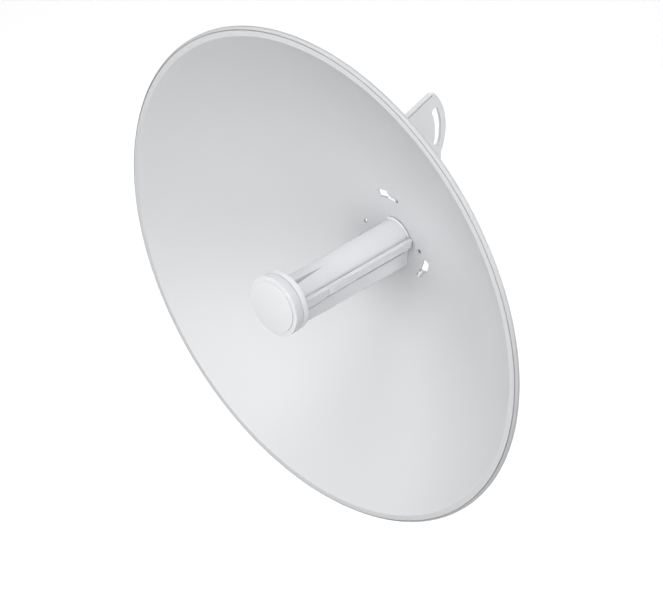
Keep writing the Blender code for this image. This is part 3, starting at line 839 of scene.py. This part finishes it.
@dataclass
class Rear:
    """Hub, lugs, housing, cover and gland behind the dish."""

    centre: Point = (-0.8, 0.0, -1.2)
    hub_front: float = 93.2
    hub_well: float = 95.8
    hub_well_r: float = 33.3
    hub_rim_in_r: float = 34.6
    hub_r: float = 38.2
    hub_rim_back: float = 94.6
    hub_neck_r: float = 34.5
    hub_neck_back: float = 98.0
    hub_back: float = 100.0
    notch_count: int = 36
    notch_r: float = 1.1
    notch_out: float = 0.5
    notch_front: float = 90.0
    housing_r: float = 33.0
    housing_back: float = 120.0
    line_half: float = 0.3
    line_deep: float = 0.5
    cover_back: float = 123.7
    lug_r: float = 45.6
    lug_sweep: float = 16.0
    lug_wide: float = 2.6
    lug_long: float = 9.5
    lug_tip: float = 87.4
    lug_hook_back: float = 89.6
    lug_hook_near: float = -2.3
    lug_arm_front: float = 92.8
    lug_arm_back: float = 94.8
    lug_arm_near: float = -1.3
    gland_y: float = 110.0
    gland: tuple[Pair, ...] = (
        (0.0, -34.6), (8.0, -34.6), (8.0, -39.2), (6.6, -39.8), (6.6, -44.8), (4.8, -47.2),
        (2.8, -47.2), (2.8, -41.2), (0.0, -41.2))
    flat_low: Point = (5.9, -5.0, -44.9)
    flat_high: Point = (9.0, 5.0, -40.6)
    lug_names: tuple[str, str, str] = ("hub_lug_top", "hub_lug_right", "hub_lug_left")
    angles: tuple[float, float, float] = field(default_factory=lambda: Dish().key_angles)

    def build(self) -> None:
        """Build all pieces behind the dish."""
        hub = [(0.0, -self.hub_well), (self.hub_well_r, -self.hub_well),
               (self.hub_rim_in_r, -self.hub_front), (self.hub_r, -self.hub_front),
               (self.hub_r, -self.hub_rim_back), (self.hub_neck_r, -self.hub_neck_back),
               (self.housing_r, -self.hub_back), (0.0, -self.hub_back)]
        bm = spun(rounded(hub, {3: 0.3, 4: 0.4, 5: 1.0}, 3), 96)
        bm = carved(bm, [self.notches()])
        turned_to(bm, Axis.FORWARD, self.centre)
        finish_piece("hub_body", bm, NYLON_DARK, ["rear_hub"])
        front = self.hub_back + SEAT
        line = (front + self.housing_back) / 2.0
        housing = [(0.0, -front), (self.housing_r, -front),
                   (self.housing_r, -line + self.line_half),
                   (self.housing_r - self.line_deep, -line),
                   (self.housing_r, -line - self.line_half),
                   (self.housing_r, -self.housing_back), (0.0, -self.housing_back)]
        bm = spun(rounded(housing, {1: 1.5, 5: 0.8}, 4), 96)
        turned_to(bm, Axis.FORWARD, self.centre)
        finish_piece("housing_body", bm, ASA_WHITE, ["rear_housing"])
        front = self.housing_back + SEAT
        cover = [(0.0, -front), (self.housing_r, -front), (self.housing_r, -self.cover_back),
                 (0.0, -self.cover_back)]
        bm = spun(rounded(cover, {1: 0.5, 2: 0.5}, 3), 96)
        turned_to(bm, Axis.FORWARD, self.centre)
        finish_piece("housing_cover", bm, ASA_WHITE, ["rear_cover"])
        self.build_gland()
        for name, angle in zip(self.lug_names, self.angles):
            self.build_lug(name, angle - self.lug_sweep)

    def notches(self) -> bmesh.types.BMesh:
        """Return the grip notches round the hub, as one cutter."""
        bm = bmesh.new()
        reach = self.hub_r + self.notch_out
        for index in range(self.notch_count):
            turn = math.tau * (index + 0.5) / self.notch_count
            across, up = reach * math.cos(turn), reach * math.sin(turn)
            join(bm, rod(self.notch_r, (across, up, -self.hub_back),
                         (across, up, -self.notch_front), 12))
        return bm

    def build_gland(self) -> None:
        """Build the cable gland with its hexagon nut and open mouth."""
        bm = spun(rounded(self.gland, {2: 0.5, 4: 0.3, 5: 0.6, 6: 0.4}, 3), 64)
        flats = []
        for index in range(6):
            flat = block(self.flat_low, self.flat_high)
            bmesh.ops.transform(flat, matrix=Matrix.Rotation(math.tau * index / 6.0, 4, "Z"),
                                verts=flat.verts[:])
            flats.append(flat)
        bm = carved(bm, flats)
        turned_to(bm, Axis.UP, (self.centre[0], self.gland_y, 0.0))
        finish_piece("gland_body", bm, NYLON_DARK, ["cable_gland"])

    def build_lug(self, name: str, angle: float) -> None:
        """Build one lug that reaches through a keyhole's tail.

        Args:
            name: The node that it stands for.
            angle: Where it lies round the axis, in degrees.
        """
        half = self.lug_long / 2
        outer = self.lug_r + self.lug_wide / 2
        near = outer - self.lug_wide
        arm = block((self.hub_r + SEAT, self.lug_arm_front, -half),
                    (self.lug_r, self.lug_arm_back, self.lug_arm_near))
        post = block((near, self.lug_tip, -half), (outer, self.lug_arm_back, self.lug_arm_near))
        hook = block((near, self.lug_tip, self.lug_hook_near), (outer, self.lug_hook_back, half))
        bm = carved(arm, [post, hook], "UNION")
        soften(bm, 0.35, 2, where=lambda edge: edge.calc_length() > 1.0)
        turn = Matrix.Translation(self.centre) @ Matrix.Rotation(-math.radians(angle), 4, "Y")
        bmesh.ops.transform(bm, matrix=turn, verts=bm.verts[:])
        finish_piece(name + "_tip", bm, ASA_WHITE, [name])


@dataclass
class Bracket:
    """The welded steel bracket: foot plate, slotted ear, gusset and bolts."""

    plate: float = 3.0
    foot_front: float = 124.0
    foot_half: float = 36.0
    foot_round: float = 8.0
    face_x: float = -37.0
    pivot: Pair = (127.0, 58.0)
    pivot_r: float = 4.4
    ear_r: float = 71.0
    ear_turns: Pair = (-24.5, 37.5)
    heel: tuple[Pair, ...] = ((150.0, -36.0), (186.0, 2.0), (190.6, 10.0), (191.0, 18.0))
    nose: tuple[Pair, ...] = ((119.0, 83.25), (115.4, 80.2), (114.0, 76.0), (114.0, 46.0),
                              (115.2, 43.0))
    corner: tuple[Pair, ...] = ((182.2, 102.0), (180.8, 102.5), (179.4, 102.4))
    fold_out: float = 5.0
    fold_thick: float = 2.5
    fold_end_in: float = 0.2
    line_below: float = 0.5
    line_wide: float = 2.4
    line_deep: float = 2.0
    slot_r: float = 60.6
    slot_half: float = 4.1
    slot_low: float = -14.4
    slot_high: float = 21.3
    slot_trim: float = 12.0
    hole_past: float = 4.0
    gusset_low: float = -31.5
    gusset_high: float = -28.5
    gusset_long: float = 22.0
    gusset_end: float = 3.0
    bolt: float = 20.0
    bolt_hole_r: float = 3.4
    shank_r: float = 3.0
    flange_r: float = 7.0
    washer_r: float = 5.4
    head_r: float = 5.8
    head_base: float = 1.2
    head_top: float = 6.2
    screw_x: float = 28.0
    screw_r: float = 3.4
    screw_side: float = 1.4
    screw_top_r: float = 1.8
    screw_top: float = 2.4
    driver_low: float = 1.5
    driver_half: float = 0.4

    def build(self) -> None:
        """Build all pieces of the bracket."""
        self.build_foot()
        self.build_ear()
        self.build_gusset()
        for number, (across, up) in enumerate(self.corners(), 1):
            self.build_bolt(number, across, up)
        self.build_ground_screw()

    def corners(self) -> list[Pair]:
        """Return x and z of each bolt."""
        return [(across, up) for across in (-self.bolt, self.bolt)
                for up in (-self.bolt, self.bolt)]

    def build_foot(self) -> None:
        """Build the foot plate with its four bolt holes."""
        back = self.foot_front + self.plate
        low = (self.face_x + SEAT, self.foot_front, -self.foot_half)
        bm = block(low, (self.foot_half, back, self.foot_half))
        soften(bm, self.foot_round, 8,
               where=lambda edge: edge.verts[0].co.x > 0.0 and runs_along_y(edge))
        holes = [rod(self.bolt_hole_r, (across, self.foot_front - self.hole_past, up),
                     (across, back + self.hole_past, up), 32) for across, up in self.corners()]
        bm = carved(bm, holes)
        soften(bm, 0.35, 2, 50.0)
        # The foot wears the paler copy of the powder as painted light.
        finish_piece("foot_plate", bm, BRACKET_COAT_PAINTED_LIGHT, ["bracket_foot"])

    def ear_outline(self) -> Profile:
        """Return the ear's outline as (y, z) points."""
        points = [(self.foot_front, -self.foot_half), *self.heel]
        points += arc(self.pivot, self.ear_r, *self.ear_turns, 60)
        return points + [*self.corner, *self.nose, (self.foot_front, self.foot_half)]

    def fold_outline(self, below: float, thick: float) -> Profile:
        """Return a band along the ear's top edge.

        Args:
            below: How far under the edge it starts.
            thick: How deep it is.

        Returns:
            Its four corners as (y, z).
        """
        low, high = Vector(self.nose[0]), Vector(self.corner[-1])
        along = (high - low).normalized()
        inward = Vector((along.y, -along.x))
        first, last = low + along, high - along * self.fold_end_in
        return [tuple(point + inward * deep) for point, deep in (
            (first, below), (last, below), (last, below + thick), (first, below + thick))]

    def slot_outline(self) -> Profile:
        """Return the arc slot's outline as (y, z) points."""
        wide, trim = self.slot_half, self.slot_trim
        points = arc(self.pivot, self.slot_r + wide, self.slot_low, self.slot_high, 32)
        for angle, first, last in ((self.slot_high, trim, 180.0 - trim),
                                   (self.slot_low, trim - 180.0, -trim)):
            turn = math.radians(angle)
            end = (self.pivot[0] + self.slot_r * math.cos(turn),
                   self.pivot[1] + self.slot_r * math.sin(turn))
            points += arc(end, wide, angle + first, angle + last, 14)
            if angle == self.slot_high:
                points += arc(self.pivot, self.slot_r - wide, self.slot_high, self.slot_low, 32)
        return points

    def build_ear(self) -> None:
        """Build the ear with its arc slot and pivot hole."""
        low = self.face_x - self.plate
        near, far = low - self.hole_past, self.face_x + self.hole_past
        bm = slab(self.ear_outline(), low, self.face_x)
        fold = slab(self.fold_outline(0.0, self.fold_thick), self.face_x - self.fold_out,
                    self.face_x - 1.0)
        bm = carved(bm, [fold], "UNION")
        line = slab(self.fold_outline(self.line_below, self.line_wide),
                    self.face_x - self.line_deep, self.face_x + 1.0)
        bm = carved(bm, [slab(self.slot_outline(), near, far),
                         rod(self.pivot_r, (near, *self.pivot), (far, *self.pivot)), line])
        soften(bm, 0.4, 2, 50.0)
        # The ear wears the paler copy of the powder as painted light.
        finish_piece("ear_plate", bm, BRACKET_COAT_PAINTED_LIGHT, ["bracket_ear"])

    def build_gusset(self) -> None:
        """Build the gusset that stiffens the corner."""
        low = self.face_x + SEAT
        near = self.foot_front + self.plate + SEAT
        bm = block((low, near, self.gusset_low),
                   (low + self.gusset_long, near + self.gusset_long, self.gusset_high))
        for vert in bm.verts:
            if vert.co.y > near + 1.0 and vert.co.x > low + 1.0:
                vert.co.x = low + self.gusset_end
        soften(bm, 0.4, 2)
        # The gusset wears the paler copy of the powder as painted light.
        finish_piece("gusset_plate", bm, BRACKET_COAT_PAINTED_LIGHT, ["bracket_gusset"])

    def build_bolt(self, number: int, across: float, up: float) -> None:
        """Build one flanged hexagon bolt.

        Args:
            number: Its number.
            across: Its x.
            up: Its z.
        """
        face = self.foot_front + self.plate
        low, edge, top = face + SEAT, face + 1.0, face + 1.7
        shaft = [(0.0, self.foot_front + 0.2), (self.shank_r, self.foot_front + 0.2),
                 (self.shank_r, low), (self.flange_r, low), (self.flange_r, edge),
                 (self.washer_r, top), (0.0, top)]
        bm = spun(rounded(shaft, {1: 0.4, 4: 0.3, 5: 0.5}, 3), 48)
        turned_to(bm, Axis.BACK)
        head = rod(self.head_r, (0.0, face + self.head_base, 0.0),
                   (0.0, face + self.head_top, 0.0), 6)
        soften(head, 0.45, 2)
        bm = carved(bm, [head], "UNION")
        bmesh.ops.translate(bm, vec=(across, 0.0, up), verts=bm.verts[:])
        finish_piece("foot_bolt_head_%d" % number, bm, STAINLESS,
                     ["foot_bolt_%d" % number])

    def build_ground_screw(self) -> None:
        """Build the grounding screw with its driver slot."""
        near = self.foot_front + self.plate + SEAT
        top = near + self.screw_top
        head = [(0.0, near), (self.screw_r, near), (self.screw_r, near + self.screw_side),
                (self.screw_top_r, top), (0.0, top)]
        bm = spun(rounded(head, {2: 0.5}, 4), 40)
        turned_to(bm, Axis.BACK, (self.screw_x, 0.0, 0.0))
        cut = block((self.screw_x - 4.0, near + self.driver_low, -self.driver_half),
                    (self.screw_x + 4.0, near + 3.0, self.driver_half))
        bm = carved(bm, [cut])
        finish_piece("ground_screw_head", bm, STAINLESS, ["ground_screw"])


# Studio


@dataclass(frozen=True)
class SoftLight:
    """A square soft light that looks at the dish or straight down."""

    name: str
    place: Point
    power: float
    size: float = 2.0
    spread: float = 60.0
    distance: float = 3.4
    straight_down: bool = False

    def build(self, target: Vector) -> None:
        """Build the light.

        Args:
            target: The point that it looks at, in metres.
        """
        data = bpy.data.lights.new(self.name, "AREA")
        data.shape = "SQUARE"
        data.size = self.size
        data.energy = self.power
        data.spread = math.radians(self.spread)
        lamp = linked(self.name, data)
        if self.straight_down:
            lamp.location = target + Vector(self.place)
            return
        way = Vector(self.place).normalized() * self.distance
        lamp.location = target + way
        lamp.rotation_euler = (-way).to_track_quat("-Z", "Y").to_euler()


@dataclass
class Studio:
    """Camera, pale floor, even sky and soft lights."""

    azimuth: float = 45.0
    elevation: float = 35.2644
    image_width: int = 663
    image_height: int = 607
    pixels_per_mm: float = 1.0446
    rim_pixel: Pair = (326.9, 273.9)
    camera_distance: float = 6.0
    view_depth: float = 50.0
    floor_drop: float = 1.3
    floor_size: float = 12.0
    floor_grey: float = 0.6
    sky: tuple[float, float, float] = (1.0, 1.0, 1.0)
    sky_strength: float = 0.03
    lights: tuple[SoftLight, ...] = (
        SoftLight("front", (0.0, -1.0, 0.15), 12.3),
        SoftLight("behind_right", (1.0, 1.0, 0.3), 10.5),
        SoftLight("left", (-1.0, -0.4, 0.3), 2.0),
        SoftLight("front_right_up", (1.0, -1.0, 1.1), 4.4),
        SoftLight("right", (1.0, -0.4, 0.3), 4.4),
        SoftLight("low_right", (1.0, -1.4, -0.15), 2.6),
        SoftLight("front_left_up", (-1.0, -1.0, 1.0), 1.9),
        SoftLight("above", (0.0, 0.0, 1.0), 2.0),
        SoftLight("front_left", (-1.0, -1.0, 0.1), 2.4),
        SoftLight("above_front", (0.0, -0.6, 1.5), 5.8),
        SoftLight("behind_left", (-0.8, 1.0, 0.8), 4.0),
        SoftLight("behind_above", (0.2, 1.0, 1.5), 1.9),
        SoftLight("backdrop", (-1.3, 1.3, -0.5), 33.5, size=2.2, spread=180.0,
                  straight_down=True),
    )

    def target(self) -> Vector:
        """Return the rim's centre in metres."""
        return Vector(RIM_CENTRE) * MM

    def build(self) -> None:
        """Build the whole studio."""
        self.build_camera()
        self.build_floor()
        self.build_sky()
        for light in self.lights:
            light.build(self.target())
        bpy.context.scene.view_settings.view_transform = "Standard"
        bpy.context.scene.view_settings.look = "None"

    def build_camera(self) -> None:
        """Build the camera, aimed so that the rim's centre meets its pixel."""
        turn, lift = math.radians(self.azimuth), math.radians(self.elevation)
        back = Vector((math.sin(turn) * math.cos(lift), -math.cos(turn) * math.cos(lift),
                       math.sin(lift)))
        aim = (-back).to_track_quat("-Z", "Y")
        right, up = aim @ Vector((1.0, 0.0, 0.0)), aim @ Vector((0.0, 1.0, 0.0))
        scale = MM / self.pixels_per_mm
        shift = right * (self.image_width / 2 - self.rim_pixel[0]) * scale
        shift += up * (self.rim_pixel[1] - self.image_height / 2) * scale
        data = bpy.data.cameras.new("photo_camera")
        data.type = "ORTHO"
        data.ortho_scale = self.image_width * scale
        data.clip_end = self.view_depth
        camera = linked("photo_camera", data)
        camera.location = self.target() + shift + back * self.camera_distance
        camera.rotation_mode = "QUATERNION"
        camera.rotation_quaternion = aim
        bpy.context.scene.camera = camera

    def build_floor(self) -> None:
        """Build the pale floor, well below the dish."""
        bm = bmesh.new()
        bmesh.ops.create_grid(bm, x_segments=1, y_segments=1, size=self.floor_size)
        bmesh.ops.translate(bm, vec=(0.0, 0.0, self.target().z - self.floor_drop),
                            verts=bm.verts[:])
        mesh = bpy.data.meshes.new("floor")
        bm.to_mesh(mesh)
        bm.free()
        floor = linked("floor", mesh)
        paint = bpy.data.materials.new("floor_paper")
        paint.use_nodes = True
        shader = paint.node_tree.nodes["Principled BSDF"]
        shader.inputs["Base Color"].default_value = (*[self.floor_grey] * 3, 1.0)
        shader.inputs["Roughness"].default_value = 0.9
        mesh.materials.append(paint)

    def build_sky(self) -> None:
        """Give the world an even pale light."""
        world = bpy.data.worlds.new("studio")
        bpy.context.scene.world = world
        world.use_nodes = True
        glow = world.node_tree.nodes["Background"]
        glow.inputs["Color"].default_value = (*self.sky, 1.0)
        glow.inputs["Strength"].default_value = self.sky_strength


def main() -> None:
    """Build the antenna and its studio."""
    logging.basicConfig(level=logging.INFO, format="%(message)s")
    for item in list(bpy.data.objects):
        bpy.data.objects.remove(item, do_unlink=True)
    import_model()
    for part in (Dish(), FeedHead(), FeedTube(), Rear(), Bracket(), Studio()):
        part.build()
        LOG.info("%s done", type(part).__name__)


if __name__ == "__main__":
    main()
